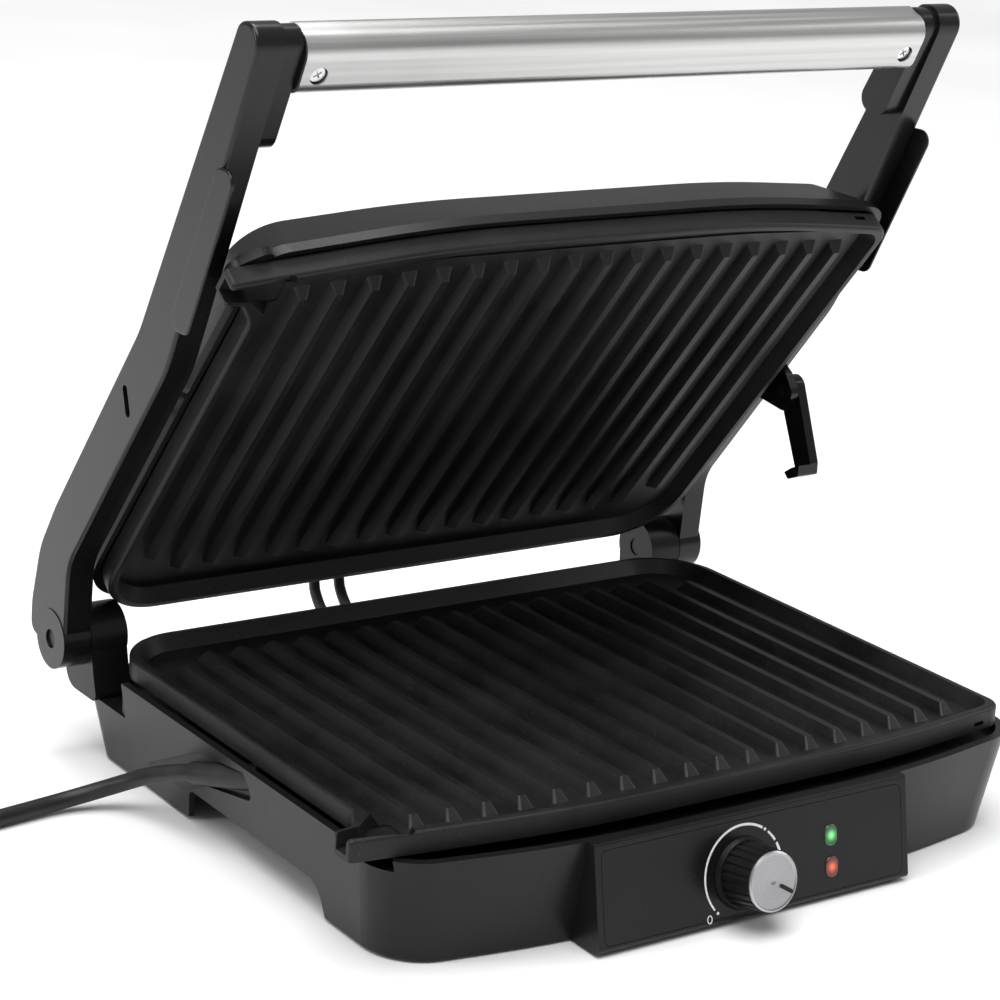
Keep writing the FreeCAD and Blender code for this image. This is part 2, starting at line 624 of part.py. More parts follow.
# hinge pins run through the fixed barrels and the arms' knuckles
for label, start in (("left_hinge_pin", -outer + 0.6), ("right_hinge_pin", TOWER_IN + 0.6)):
    rod_ = doc.addObject("Part::Cylinder", label)
    rod_.setExpression("Radius", "Sizes.PinRadius")
    rod_.Height = outer - TOWER_IN - 1.2
    rod_.Placement = FreeCAD.Placement(V(start, HINGE.y, HINGE.z), FreeCAD.Rotation(V(0, 1, 0), 90))
    keep(rod_, label)

HANDLE_TILT = 25.0
HANDLE = FreeCAD.Placement(V(0, -15.5, 312.0), FreeCAD.Rotation(V(1, 0, 0), HANDLE_TILT))
# handle section in its own frame: first value back, second up
SHELL = [(-8.5, -11.8, 6.5), (8.5, -11.8, 2.5), (8.5, 11.8, 3.5), (-8.5, 11.8, 7.5)]


def inset(corners, amount):
    return [(a - math.copysign(amount, a), b - math.copysign(amount, b), max(r - amount, 0.4))
            for a, b, r in corners]


grip = inner - 8.3
tube = slab(SHELL, "YZ", -grip, grip).cut(slab(inset(SHELL, size("HandleWall")), "YZ", -grip - 1, grip + 1))
spots = [(-1, -grip + 7.0), (1, grip - 7.0)]
dimples = [rod(V(x, -12.0, -2.0), V(x, -5.5, -2.0), 3.6) for s_, x in spots]
tube = tube.cut(Part.makeCompound(dimples))
solid("handle_tube", tube, HANDLE)
for label, s_ in (("left_handle_core", -1), ("right_handle_core", 1)):
    core = slab(inset(SHELL, size("HandleWall") + 0.15), "YZ", *sorted((s_ * grip, s_ * (grip - 24.0))))
    cup = rod(V(s_ * (grip - 7.0), -12.0, -2.0), V(s_ * (grip - 7.0), -5.6, -2.0), 3.5)
    core = core.cut(cup).cut(rod(V(s_ * (grip - 7.0), -6.0, -2.0), V(s_ * (grip - 7.0), 3.5, -2.0), 1.5))
    solid(label, core, HANDLE)
handle_screws = [screw(V(x, -5.6, -2.0), (0, 1, 0), 1.45, 8.5, 3.1, 1.7) for s_, x in spots]
solid("handle_screws", Part.makeCompound(handle_screws), HANDLE)

# ---------------------------------------------------------------- upper housing

LID_RIM = rim + size("LidGap")
SHUT_BACK = size("LidSetback")


def lid_outline(side, back, middle, corner, front_corner, turn, rear_turn):
    return [(side, back, rear_turn), (side, corner, front_corner), (76.0, middle, 450.0), (-76.0, middle, 450.0),
            (-side, corner, front_corner), (-side, back, rear_turn)]


def lid_shell(shrink, low, high, lift):
    """The lid's cover: a flared skirt, sloping walls and a softly rounded top."""
    foot = lid_outline(153.0 - shrink, 121.5 - shrink, -116.0 + shrink, -106.0 + shrink, 14.0, 0, 30.0)
    waist = lid_outline(152.0 - shrink, 121.0 - shrink, -114.5 + shrink, -104.5 + shrink, 14.0, 0, 30.0)
    brow = lid_outline(146.5 - shrink, 112.0 - shrink, -101.0 + shrink, -93.0 + shrink, 20.0, 0, 28.0)
    crown = lid_outline(138.0 - shrink, 103.0 - shrink, -92.0 + shrink, -85.0 + shrink, 24.0, 0, 26.0)
    lower = tapered(foot, low, waist, low + 5.0)
    middle = tapered(waist, low + 5.0, brow, high - 4.0 - lift)
    upper = tapered(brow, high - 4.0 - lift, crown, high - lift)
    return fuse(lower, middle, upper)


lid_low = LID_RIM + size("RimSkirt") + 0.4
lid_high = LID_RIM + 37.5


def upper_housing():
    outer_ = lid_shell(0.0, lid_low, lid_high, 0.0)
    inner_ = lid_shell(2.4, lid_low - 0.01, lid_high, 2.4)
    shell = outer_.cut(inner_)
    ear = slab([(-146.0, -70.0, 4), (-162.0, -84.0, 8), (-162.5, -101.0, 8), (-146.0, -110.0, 4)], "XY",
               lid_low, lid_low + 4.0)
    ear = ear.cut(slab([(-144.0, -60.0, 4), (-149.0, -80.0, 1), (-149.0, -104.0, 1), (-140.0, -112.0, 4)], "XY",
                       lid_low - 1, lid_low + 2.0))
    shell = shell.fuse(ear).cut(inner_)
    frame_ = slab([(-146.0, 114.0, 22), (-146.0, -96.0, 12), (146.0, -96.0, 12), (146.0, 114.0, 22)], "XY",
                  lid_low, lid_low + 2.0)
    frame_ = frame_.cut(slab([(-134.0, 105.0, 12), (-134.0, -82.0, 12), (134.0, -82.0, 12), (134.0, 105.0, 12)],
                             "XY", lid_low - 1, lid_low + 3.0))
    shell = fuse(shell, frame_)
    # bosses inside hold the float pins and stop pegs
    shut = OPEN_LID.inverse()
    hub = shut.multVec(FLOAT)
    peg = shut.multVec(PEG_AT)
    for s_ in (-1, 1):
        block = box(sorted((s_ * 138.0, s_ * 151.5)), (hub.y - 8, hub.y + 18), (lid_low + 1.0, lid_low + 18.0))
        block = block.common(lid_shell(0.5, lid_low, lid_high, 0.5))
        shell = shell.fuse(block)
        shell = shell.cut(rod(V(s_ * 137, hub.y, hub.z), V(s_ * 160, hub.y, hub.z), pin + 0.0))
        shell = shell.cut(rod(V(s_ * 137, peg.y, peg.z), V(s_ * 160, peg.y, peg.z), PEG))
    link_holes = [rod(V(x, 108.0, lid_low + 9.5), V(x, 130.0, lid_low + 9.5), size("LinkSize") / 2 + 0.3)
                  for x in LINK_X]
    shell = shell.removeSplitter().cut(Part.makeCompound(link_holes))
    # room for the grill plate and for the heating element's cold ends
    return shell.cut(lid_side(PLATE)).cut(lid_side(COLD_ENDS))


solid("upper_housing", upper_housing(), OPEN_LID)

pins = []
pegs = []
for s_ in (-1, 1):
    pins.append(rod(V(s_ * 139.0, FLOAT.y, FLOAT.z), V(s_ * (outer - 4.3), FLOAT.y, FLOAT.z), pin))
    pegs.append(rod(V(s_ * 139.0, PEG_AT.y, PEG_AT.z), V(s_ * (outer - 3.5), PEG_AT.y, PEG_AT.z), PEG))
solid("float_pins", Part.makeCompound(pins))
solid("float_stop_pegs", Part.makeCompound(pegs))

# ---------------------------------------------------------------- lid lock

lock = doc.addObject("PartDesign::Body", "lock_lever")
blade = draw(lock, "lever_outline", "YZ",
             [(LOCK.y - 6.5, LOCK.z + 6.5, 6.3), (LOCK.y - 5.5, LOCK.z - 35.0, 1.5),
              (LOCK.y - 3.5, LOCK.z - 40.0, 1.5), (LOCK.y + 4.0, LOCK.z - 40.0, 1.5),
              (LOCK.y + 5.5, LOCK.z - 37.0, 1.5), (LOCK.y + 6.5, LOCK.z + 6.5, 6.3)], 161.3,
             [(LOCK.y, LOCK.z, 2.55)])
pad(lock, "lever_blade", blade, "Sizes.LockThick")
toe = draw(lock, "toe_outline", "YZ",
           [(LOCK.y - 5.4, LOCK.z - 35.4, 0), (LOCK.y - 3.5, LOCK.z - 40.0, 1.5), (LOCK.y + 4.0, LOCK.z - 40.0, 1.5),
            (LOCK.y + 5.4, LOCK.z - 36.5, 0), (LOCK.y, LOCK.z - 35.4, 0)], 154.6)
pad(lock, "lever_toe", toe, 8.0)
# swung forward about its pin from hanging straight down
lock.Placement = FreeCAD.Placement(V(0, 0, 0), FreeCAD.Rotation(V(-1, 0, 0), 24.0), V(0, LOCK.y, LOCK.z))
keep(lock, "lock_lever")
lock_pin = rod(V(156.6, LOCK.y, LOCK.z), V(166.2, LOCK.y, LOCK.z), 2.5)
solid("lock_pin", fuse(lock_pin, rod(V(166.2, LOCK.y, LOCK.z), V(167.4, LOCK.y, LOCK.z), 4.0)))

# ---------------------------------------------------------------- cords

cord = size("CordSize") / 2


def tangent_path(points):
    """Straight runs joined by arcs, each as large as its two runs allow."""
    edges = []
    start = points[0]
    radii = []
    for i in range(1, len(points) - 1):
        back = points[i - 1] - points[i]
        ahead = points[i + 1] - points[i]
        reach = 0.45 * min(back.Length, ahead.Length)
        half_turn = back.getAngle(ahead) / 2.0
        radius = reach * math.tan(half_turn)
        radii.append(round(radius, 1))
        back.normalize()
        ahead.normalize()
        middle = back + ahead
        middle.normalize()
        first, last = points[i] + back * reach, points[i] + ahead * reach
        top_ = points[i] + middle * (radius / math.sin(half_turn) - radius)
        edges.append(Part.LineSegment(start, first).toShape())
        edges.append(Part.Arc(first, top_, last).toShape())
        start = last
    edges.append(Part.LineSegment(start, points[-1]).toShape())
    print("cord radii", radii, "length", round(sum(edge.Length for edge in edges), 1))
    return Part.Wire(edges)


def tube(points, radius):
    path = tangent_path(points)
    along = points[1] - points[0]
    ring = Part.Wire([Part.makeCircle(radius, points[0], along)])
    shape = path.makePipeShell([ring], True, False)
    print("tube volume", round(shape.Volume, 1), "section times length",
          round(math.pi * radius ** 2 * path.Length, 1))
    return shape


solid("cord_sleeve", SLEEVE_CONE.cut(rod(SLEEVE[0] - SLEEVE_WAY * 0.1, SLEEVE[1] + SLEEVE_WAY * 0.1, cord)))

COIL_MID = V(-262.0, 104.0, 0)
ROUTE = [V(-157.0, 20.0, 28.5), V(-161.0, 43.0, 20.5), V(-169.5, 60.0, 10.5), V(-188.0, 68.0, 4.4),
         V(-212.0, 65.5, 3.8), V(-238.0, 61.5, 3.6), V(-262.0, 62.0, 3.6)]
solid("power_cord", tube(ROUTE, cord))
TAIL = [V(-300.5, 104.0, 10.4), V(-301.0, 130.0, 8.6), V(-288.0, 151.0, 8.0), V(-264.0, 158.5, 9.4),
        V(-240.0, 158.0, 11.0)]
solid("cord_tail", tube(TAIL, cord))
coil = Part.makeCylinder(45.6, 13.9, COIL_MID).cut(Part.makeCylinder(31.4, 20.0, COIL_MID - V(0, 0, 1)))
solid("cord_coil", soften(coil, 3.0, lambda edge: True))

# mains plug lying beside the coil: moulded body, two blades and an earth pin
plug = slab([(-239.5, 152.5, 2), (-239.5, 163.5, 2), (-228.0, 166.0, 4), (-222.0, 171.0, 3), (-205.0, 171.0, 4),
             (-205.0, 145.0, 4), (-222.0, 145.0, 3), (-228.0, 150.0, 4)], "XY", 0.2, 21.8)
plug = soften(plug, 2.5, level_edge(21.8))
solid("mains_plug", plug)
blades = [box((-205.0, -188.0), (y - 0.75, y + 0.75), (9.6, 15.9)) for y in (151.6, 164.4)]
earth = rod(V(-205.0, 158.0, 5.2), V(-184.5, 158.0, 5.2), 2.4)
solid("plug_pins", Part.makeCompound(blades + [earth]))

# two leads carry power from the base to the lid behind the hinge
link = size("LinkSize") / 2
leads = [tube([p + V(x, 0, 0) for p in LINK], link) for x in LINK_X]
solid("link_leads", Part.makeCompound(leads))

# terminal block inside the base, where the mains cord ends
block = box((-120.0, -84.0), (-30.0, -16.0), (17.4, 29.0))
wells = [rod(V(-116.0 + 7 * i, -23.0, 24.0), V(-116.0 + 7 * i, -23.0, 30.0), 2.0) for i in range(5)]
solid("terminal_block", block.cut(Part.makeCompound(wells)))
solid("lower_thermal_cutout", box((-9.0, 9.0), (8.0, 24.0), (36.2, 42.9)))
solid("upper_thermal_cutout", lid_side(box((-9.0, 9.0), (8.0, 24.0), (36.2, 42.9))), OPEN_LID)

doc.recompute()
for item in doc.Objects:
    if "Invalid" in item.State or "Error" in item.State:
        raise RuntimeError("bad object " + item.Name)
for label, thing in NODES:
    s = thing.Shape
    if s.isNull() or not s.isValid():
        raise RuntimeError("bad shape " + label)
    print(label, s.ShapeType, len(s.Solids), round(s.Volume), [round(v, 1) for v in (s.BoundBox.XMin, s.BoundBox.XMax, s.BoundBox.YMin, s.BoundBox.YMax, s.BoundBox.ZMin, s.BoundBox.ZMax)])
    s.exportStep("parts/%s.step" % label)
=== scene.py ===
# %% [markdown]
# # Panini press
# The press is finished here in Blender. Its shapes come from the CAD frame, in metres, with X to the
# right, Y to the hinge at the back and Z up. This file gives them camera, light, floor and finishes, and
# makes the pieces that bend: the mains cord and the two leads behind the hinge.

import json
import math

import bmesh
import bpy
from mathutils import Matrix, Vector

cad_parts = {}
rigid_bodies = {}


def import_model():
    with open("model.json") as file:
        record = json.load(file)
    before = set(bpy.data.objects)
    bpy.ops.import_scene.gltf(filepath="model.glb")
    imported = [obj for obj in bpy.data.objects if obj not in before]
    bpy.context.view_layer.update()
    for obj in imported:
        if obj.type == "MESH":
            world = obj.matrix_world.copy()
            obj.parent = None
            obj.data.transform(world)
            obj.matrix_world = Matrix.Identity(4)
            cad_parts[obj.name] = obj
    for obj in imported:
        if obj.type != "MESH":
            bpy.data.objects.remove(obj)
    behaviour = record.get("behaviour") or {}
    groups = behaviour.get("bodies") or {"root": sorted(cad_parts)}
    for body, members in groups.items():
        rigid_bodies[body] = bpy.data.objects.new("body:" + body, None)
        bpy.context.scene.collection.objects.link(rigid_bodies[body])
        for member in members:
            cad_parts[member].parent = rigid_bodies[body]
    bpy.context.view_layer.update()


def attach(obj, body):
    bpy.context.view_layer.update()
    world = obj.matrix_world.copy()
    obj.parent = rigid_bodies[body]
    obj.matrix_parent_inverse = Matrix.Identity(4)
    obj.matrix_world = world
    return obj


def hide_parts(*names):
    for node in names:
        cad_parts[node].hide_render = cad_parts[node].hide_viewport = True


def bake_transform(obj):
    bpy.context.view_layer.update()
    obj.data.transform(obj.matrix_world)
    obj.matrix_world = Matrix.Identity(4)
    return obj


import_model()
MM = 0.001

# %% [markdown]
# ## Camera
# A product picture is taken with a long lens, so far edges stay nearly as large as near ones. The camera
# stands left of the press and a little above it. Its heading, downward pitch and small roll are set as
# three directions, and these are the columns of its matrix.

# %% Camera
HEADING, PITCH, ROLL = (math.radians(v) for v in (-35.67, 16.77, 3.7))
CAMERA_AT = Vector((-0.6674, -0.88375, 0.4583))
LENS, SENSOR, NEAREST = 102.55, 36.0, 0.05
ahead = Vector((-math.sin(HEADING) * math.cos(PITCH), math.cos(HEADING) * math.cos(PITCH),
                -math.sin(PITCH)))
level_right = Vector((math.cos(HEADING), math.sin(HEADING), 0))
level_up = level_right.cross(ahead)
right = math.cos(ROLL) * level_right + math.sin(ROLL) * level_up
up = math.cos(ROLL) * level_up - math.sin(ROLL) * level_right
camera_data = bpy.data.cameras.new("camera")
camera_data.lens = LENS
camera_data.sensor_width = SENSOR
camera_data.clip_start = NEAREST
camera = bpy.data.objects.new("camera", camera_data)
bpy.context.collection.objects.link(camera)
camera.matrix_world = Matrix(((right.x, up.x, -ahead.x, CAMERA_AT.x),
                              (right.y, up.y, -ahead.y, CAMERA_AT.y),
                              (right.z, up.z, -ahead.z, CAMERA_AT.z),
                              (0, 0, 0, 1)))
bpy.context.scene.camera = camera
print("camera at", tuple(round(v, 3) for v in CAMERA_AT))

# %% [markdown]
# ## Mains cord
# A cord is one length of round rubber. A NURBS curve is right for it: a few points pull on the line, and
# the line stays smooth between them, as a stiff cord does. The first points bring it out of its sleeve and
# down to the table. The spare length is wound in three turns, two flat and one on top, and runs on to the
# plug.

# %% Cord route
CORD_DIAMETER = 7 * MM
LEAVING = [(-157, 20, 28.5), (-161, 43, 20.5), (-169.5, 60, 10.5), (-188, 68, 4.4), (-212, 65.5, 3.8),
           (-238, 61.5, 3.6)]
COIL_MIDDLE = (-262.0, 104.0)
TO_PLUG = [(-301, 130, 8.6), (-288, 151, 8), (-264, 158.5, 9.4), (-240, 158, 11)]
TURN_STEPS, TURNS = 16, 3.25
WIDE, NARROW, TOP_TURN = 42.2, 35.0, 38.6
ON_TABLE, ON_TOP = 3.6, 10.4


def step_between(low, high, part):
    """Smooth change from low to high while part goes from 0 to 1."""
    part = min(max(part, 0.0), 1.0)
    return low + (high - low) * part * part * (3 - 2 * part)


def coil_points():
    """Three turns: a wide one and a narrow one on the table, then one on top of both."""
    points = []
    count = int(TURN_STEPS * TURNS)
    swell = 1.0 / math.cos(math.pi / TURN_STEPS) ** 0.5
    for i in range(count + 1):
        turn = i / TURN_STEPS
        radius = step_between(WIDE, NARROW, (turn - 0.72) / 0.5)
        height = ON_TABLE
        if turn > 1.6:
            radius = step_between(NARROW, TOP_TURN, (turn - 1.75) / 0.45)
            height = step_between(ON_TABLE, ON_TOP, (turn - 1.70) / 0.4)
        angle = -math.pi / 2 - turn * 2 * math.pi
        points.append((COIL_MIDDLE[0] + radius * swell * math.cos(angle),
                       COIL_MIDDLE[1] + radius * swell * math.sin(angle), height))
    return points


def smooth_curve(name, points, diameter):
    """A round cord along a NURBS line pulled by the points, given in millimetres."""
    data = bpy.data.curves.new(name, "CURVE")
    data.dimensions = "3D"
    spline = data.splines.new("NURBS")
    spline.points.add(len(points) - 1)
    for point, place in zip(spline.points, points):
        point.co = (place[0] * MM, place[1] * MM, place[2] * MM, 1)
        point.radius = MM
    spline.order_u = 3
    spline.use_endpoint_u = True
    spline.resolution_u = 8
    data.bevel_depth = diameter / 2 / MM
    data.bevel_resolution = 5
    data.use_fill_caps = True
    thing = bpy.data.objects.new(name, data)
    bpy.context.collection.objects.link(thing)
    return thing


mains_cord = smooth_curve("mains_cord", LEAVING + coil_points() + TO_PLUG, CORD_DIAMETER)
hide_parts("power_cord", "cord_coil", "cord_tail")
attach(mains_cord, "base")
print("cord points:", len(mains_cord.data.splines[0].points))

# %% [markdown]
# ## Leads to the lid
# Two thin leads carry current from the base to the lid behind the hinge. They bend when the lid moves.
# A curve makes the round shape, and it is turned into a mesh in two lengths, one from the base and one to
# the lid. A curve makes the round shape, and it is turned into a mesh in two lengths, because one length
# can follow only two neighbouring bodies.

# %% Lead pieces
LEAD_DIAMETER = 5 * MM
LEAD_ACROSS = (-25.0, -12.0)
LEAD_LOW = [(114.4, 33), (126, 33), (136.5, 34.4), (145.5, 38.6), (149.2, 44.6)]
LEAD_HIGH = [(149.2, 44.6), (151.2, 50.6), (148.4, 57.4), (143.4, 63.0), (138.9, 67.9)]


def mesh_from_curves(name, curves):
    """Join several curve objects into one mesh piece."""
    graph = bpy.context.evaluated_depsgraph_get()
    shape = bmesh.new()
    for curve in curves:
        part = bpy.data.meshes.new_from_object(curve.evaluated_get(graph))
        shape.from_mesh(part)
        bpy.data.objects.remove(curve)
    data = bpy.data.meshes.new(name)
    shape.to_mesh(data)
    shape.free()
    data.shade_smooth()
    thing = bpy.data.objects.new(name, data)
    bpy.context.collection.objects.link(thing)
    return thing


def lead_pair(name, side_points):
    pair = [smooth_curve(name, [(x, y, z) for y, z in side_points], LEAD_DIAMETER) for x in LEAD_ACROSS]
    return mesh_from_curves(name, pair)


leads_low = lead_pair("leads_from_base", LEAD_LOW)
leads_high = lead_pair("leads_to_lid", LEAD_HIGH)
for piece, bodies, start, end in ((leads_low, ("base", "arms"), LEAD_LOW[1], LEAD_LOW[-1]),
                                  (leads_high, ("arms", "head"), LEAD_HIGH[0], LEAD_HIGH[-1])):
    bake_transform(piece)
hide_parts("link_leads")
print("lead vertices:", len(leads_low.data.vertices), len(leads_high.data.vertices))

# %% [markdown]
# ## Printed dial
# The scale round the knob is white paint on the panel. Paint is very thin, so each mark is a flat strip
# that stands a tenth of a millimetre proud of the panel. The strips are cut from a ring, in the panel's
# own plane: across, up the slope and out of it.

# %% Panel plane
PANEL_RISE, PANEL_RUN = 41.0, 8.0
panel_lean = math.atan2(PANEL_RUN, PANEL_RISE)
panel_up = Vector((0, math.sin(panel_lean), math.cos(panel_lean)))
panel_out = Vector((0, -math.cos(panel_lean), math.sin(panel_lean)))
panel_middle = Vector((0, -137.5, 22.0))
KNOB = (-8.0, -2.6)
PAINT_DEEP, PAINT_PROUD = -0.15, 0.10


def on_panel(across, rise, out):
    return (panel_middle + Vector((across, 0, 0)) + rise * panel_up + out * panel_out) * MM


def clock(radius, degrees):
    """A place round the knob, its angle counted clockwise from the top."""
    angle = math.radians(degrees)
    return KNOB[0] + radius * math.sin(angle), KNOB[1] + radius * math.cos(angle)


def raise_outline(shape, outline, deep=PAINT_DEEP, proud=PAINT_PROUD):
    """Make a closed outline into a plate between two heights over the panel."""
    low = [shape.verts.new(on_panel(x, y, deep)) for x, y in outline]
    high = [shape.verts.new(on_panel(x, y, proud)) for x, y in outline]
    shape.faces.new(high)
    shape.faces.new(low[::-1])
    for i in range(len(outline)):
        j = (i + 1) % len(outline)
        shape.faces.new((low[i], low[j], high[j], high[i]))


def ring_strip(radius, start, end, wide_start, wide_end, step=3.0):
    """Outline of part of a ring whose width grows from start to end."""
    count = max(2, int(abs(end - start) / step))
    outer, inner = [], []
    for i in range(count + 1):
        part = i / count
        half = (wide_start + (wide_end - wide_start) * part) / 2
        angle = start + (end - start) * part
        outer.append(clock(radius + half, angle))
        inner.append(clock(radius - half, angle))
    return outer + inner[::-1]


def dot(radius, degrees, size, step=30):
    x, y = clock(radius, degrees)
    return [(x + size * math.sin(math.radians(a)), y + size * math.cos(math.radians(a)))
            for a in range(0, 360, step)]


def oval(middle, wide, high, steps):
    """Points round an oval, given its half width and half height."""
    turns = [2 * math.pi * i / steps for i in range(steps)]
    return [(middle[0] + wide * math.sin(turn), middle[1] + high * math.cos(turn)) for turn in turns]


def piece_from(name, shape):
    """Turn a shape into an object, with its faces looking outwards."""
    bmesh.ops.recalc_face_normals(shape, faces=shape.faces)
    data = bpy.data.meshes.new(name)
    shape.to_mesh(data)
    shape.free()
    thing = bpy.data.objects.new(name, data)
    bpy.context.collection.objects.link(thing)
    return thing


# %% Dial marks
DIAL_RADIUS, DOT_SIZE = 18.6, 0.62
STRIPS = [(-129, 32, 0.7, 1.0), (42, 58, 0.8, 1.0), (62, 76, 1.05, 1.2), (80, 95, 1.3, 1.5),
          (99, 117, 1.6, 1.9)]
ZERO_RADIUS, ZERO_TURN, ZERO_WIDE, ZERO_HIGH, ZERO_LINE, ZERO_STEPS = 22.6, -131, 1.25, 1.7, 0.42, 20
marks = bmesh.new()
for outline in [dot(DIAL_RADIUS, turn, DOT_SIZE) for turn in (-135, 36.5)]:
    raise_outline(marks, outline)
for strip in STRIPS:
    raise_outline(marks, ring_strip(DIAL_RADIUS, *strip))
zero_at = clock(ZERO_RADIUS, ZERO_TURN)
zero_outer = oval(zero_at, ZERO_WIDE, ZERO_HIGH, ZERO_STEPS)
zero_inner = oval(zero_at, ZERO_WIDE - ZERO_LINE, ZERO_HIGH - ZERO_LINE, ZERO_STEPS)
for i in range(ZERO_STEPS):
    j = (i + 1) % ZERO_STEPS
    raise_outline(marks, [zero_outer[i], zero_outer[j], zero_inner[j], zero_inner[i]])
dial_marks = piece_from("dial_marks", marks)
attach(dial_marks, "base")
print("dial mark faces:", len(dial_marks.data.polygons))

# %% [markdown]
# ## Knob pointer
# A small groove in the knob's face shows the setting, and it looks dark because it lies in shade. On the
# real knob it is moulded in; here it is a thin black bar with round ends laid in the disc, painted shade
# in place of the recess, because it is under two millimetres across. It turns with the knob.

# %% Pointer bar
POINTER_TURN, POINTER_FROM, POINTER_TO, POINTER_HALF = 122.0, 4.6, 9.6, 0.8
POINTER_DEEP, POINTER_PROUD = 0.8, 0.05
face_out = max((Vector(v.co) / MM - panel_middle).dot(panel_out)
               for v in bpy.data.objects["knob_cap"].data.vertices)


def pointer_outline():
    """A bar with round ends, along the knob's setting, in the knob's own face."""
    angle = math.radians(POINTER_TURN)
    along = (math.sin(angle), math.cos(angle))
    side = (along[1], -along[0])
    outline = []
    for middle, start in ((POINTER_TO, -90), (POINTER_FROM, 90)):
        for step in range(0, 181, 30):
            bend = math.radians(start + step)
            ahead_by = middle + POINTER_HALF * math.cos(bend)
            aside_by = -POINTER_HALF * math.sin(bend)
            outline.append((KNOB[0] + along[0] * ahead_by + side[0] * aside_by,
                            KNOB[1] + along[1] * ahead_by + side[1] * aside_by))
    return outline


# The black bar is painted shade that stands in for the groove.
pointer_shape = bmesh.new()
raise_outline(pointer_shape, pointer_outline(), face_out - POINTER_DEEP, face_out + POINTER_PROUD)
knob_pointer = piece_from("knob_pointer", pointer_shape)
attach(knob_pointer, "knob")
print("knob face stands", round(face_out, 2), "mm out of the panel")

# %% [markdown]
# ## Writing finishes as sums
# A finish is a small network of nodes. Written node by node it is hard to read, so one class stands for
# the output of a node: adding or multiplying it adds the Math node that does so. Anything that isn't a
# sum comes from the method `node`, which takes the kind of node, its settings and its inputs.

# %% Shader values
class Value:
    """A number, colour or vector that comes out of a node."""

    def __init__(self, finish, socket):
        self.finish, self.socket = finish, socket

    def _math(self, operation, first, second):
        return self.finish.node("ShaderNodeMath", {"operation": operation}, {0: first, 1: second})

    def __add__(self, other):
        return self._math("ADD", self, other)

    __radd__ = __add__

    def __mul__(self, other):
        return self._math("MULTIPLY", self, other)

    __rmul__ = __mul__

    def __pow__(self, other):
        return self._math("POWER", self, other)


class Finish:
    """A material and the few steps that every finish here is made of."""

    def __init__(self, name):
        self.material = bpy.data.materials.new(name)
        self.material.use_nodes = True
        self.tree = self.material.node_tree
        self.shader = self.tree.nodes["Principled BSDF"]

    def node(self, kind, settings, inputs, output=0):
        made = self.tree.nodes.new(kind)
        for word, value in settings.items():
            setattr(made, word, value)
        for key, value in inputs.items():
            if isinstance(value, Value):
                self.tree.links.new(value.socket, made.inputs[key])
            else:
                made.inputs[key].default_value = value
        return Value(self, made.outputs[output])

    def place(self, stretch=(1, 1, 1), turn=(0, 0, 0)):
        """Where a point lies on the object, in metres, stretched to draw noise out along a direction."""
        spot = self.node("ShaderNodeTexCoord", {}, {}, "Object")
        return self.node("ShaderNodeMapping", {}, {"Vector": spot, "Scale": stretch, "Rotation": turn})

    def noise(self, scale, detail=2.0, rough=0.5, at=None):
        return self.node("ShaderNodeTexNoise", {}, {"Vector": at or self.place(), "Scale": scale,
                                                    "Detail": detail, "Roughness": rough})

    def between(self, value, low, high, to_low=0.0, to_high=1.0):
        """Stretch the part of a value from low to high, and hold it level outside."""
        return self.node("ShaderNodeMapRange", {"clamp": True},
                         {0: value, 1: low, 2: high, 3: to_low, 4: to_high})

    def blend(self, share, first, second):
        """A colour that goes from first to second as share goes from 0 to 1."""
        return self.node("ShaderNodeMix", {"data_type": "RGBA"}, {0: share, 6: first, 7: second}, 2)

    def edges(self, radius, samples=6):
        """Near 1 at outside edges; used to lay a painted highlight along them."""
        bevel = self.node("ShaderNodeBevel", {"samples": samples}, {"Radius": radius})
        flat = self.node("ShaderNodeNewGeometry", {}, {}, "Normal")
        likeness = self.node("ShaderNodeVectorMath", {"operation": "DOT_PRODUCT"}, {0: bevel, 1: flat},
                             "Value")
        return self.between(likeness, 0.96, 0.70)

    def bump(self, height, strength, distance):
        return self.node("ShaderNodeBump", {},
                         {"Height": height, "Strength": strength, "Distance": distance})

    def surface(self, **parts):
        """Set or link the shader's sockets; an underscore in a word stands for a space."""
        for word, value in parts.items():
            socket = self.shader.inputs[word.replace("_", " ")]
            if isinstance(value, Value):
                self.tree.links.new(value.socket, socket)
            else:
                socket.default_value = value
        return self.material


print("finish maker ready")

# %% [markdown]
# ## Black moulded plastic
# The housings are moulded in black heat-proof plastic. The mould is spark-eroded, which leaves a fine even
# grain. Long use polishes it in patches and leaves a little dust, so colour and roughness both wander
# slowly over the surface and the grain is a very small bump.

# %% Plastic finishes
def moulded(name, tone, rough_low, rough_high, grain, shine=0.24, dust=0.03):
    made = Finish(name)
    patches = made.noise(9.0, 3.0, 0.55)
    fine = made.noise(1900.0, 2.0, 0.6)
    specks = made.between(made.noise(620.0, 1.0, 0.4), 0.70, 0.80)
    dark = tuple(c * 0.72 for c in tone) + (1,)
    light = tuple(c * 1.5 for c in tone) + (1,)
    base = made.blend(made.between(patches, 0.3, 0.7), dark, light)
    base = made.blend(specks * dust, base, (0.32, 0.31, 0.3, 1))
    wipes = made.noise(5.0, 3.0, 0.6, made.place((1.0, 7.0, 3.0), (0.2, 0.5, 0.4)))
    rough = made.between(patches * 0.6 + wipes * 0.4, 0.35, 0.65, rough_low, rough_high) + fine * 0.03
    normal = made.bump(fine, grain, 0.00005)
    return made.surface(Base_Color=base, Roughness=rough, Normal=normal, Specular_IOR_Level=shine,
                        IOR=1.5)


housing_black = moulded("housing_black", (0.0065, 0.0065, 0.007), 0.24, 0.34, 0.5)
arm_black = moulded("arm_black", (0.006, 0.006, 0.0065), 0.16, 0.25, 0.25, 0.34)
knob_black = moulded("knob_black", (0.006, 0.006, 0.0065), 0.32, 0.44, 0.5)
cover_black = moulded("cover_black", (0.009, 0.009, 0.0095), 0.42, 0.55, 0.7)
print("plastics:", [m.name for m in (housing_black, arm_black, knob_black, cover_black)])
